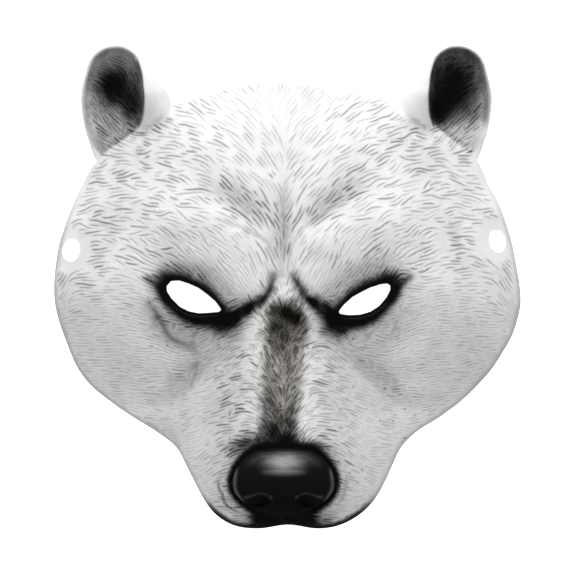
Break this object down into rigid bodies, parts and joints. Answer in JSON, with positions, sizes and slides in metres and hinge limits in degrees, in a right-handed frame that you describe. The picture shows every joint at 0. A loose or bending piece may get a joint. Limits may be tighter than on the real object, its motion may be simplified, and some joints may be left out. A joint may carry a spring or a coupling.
{
  "type": "animal face mask",
  "caption": "Moulded foam bear mask with a domed brow, slanted eye holes, a long muzzle open below the lip, a raised nose pad, cupped ears and a lace hole at each temple.",
  "frame": {"origin": "on the plane that the mask's rim rests on, under the middle of its width and height", "axes": "+X across the face, +Y up the face from the lip to the ears, +Z out of the face, away from the wearer"},
  "size_m": [0.2032, 0.2052, 0.0889],
  "materials": {
    "white_foam": "soft foam skin with a pressed fur grain, off white, airbrushed grey and black",
    "black_paint": "satin black paint on the nose pad"
  },
  "bodies": {
    "root": {"mask_shell": "white_foam"}
  },
  "joints": []
}
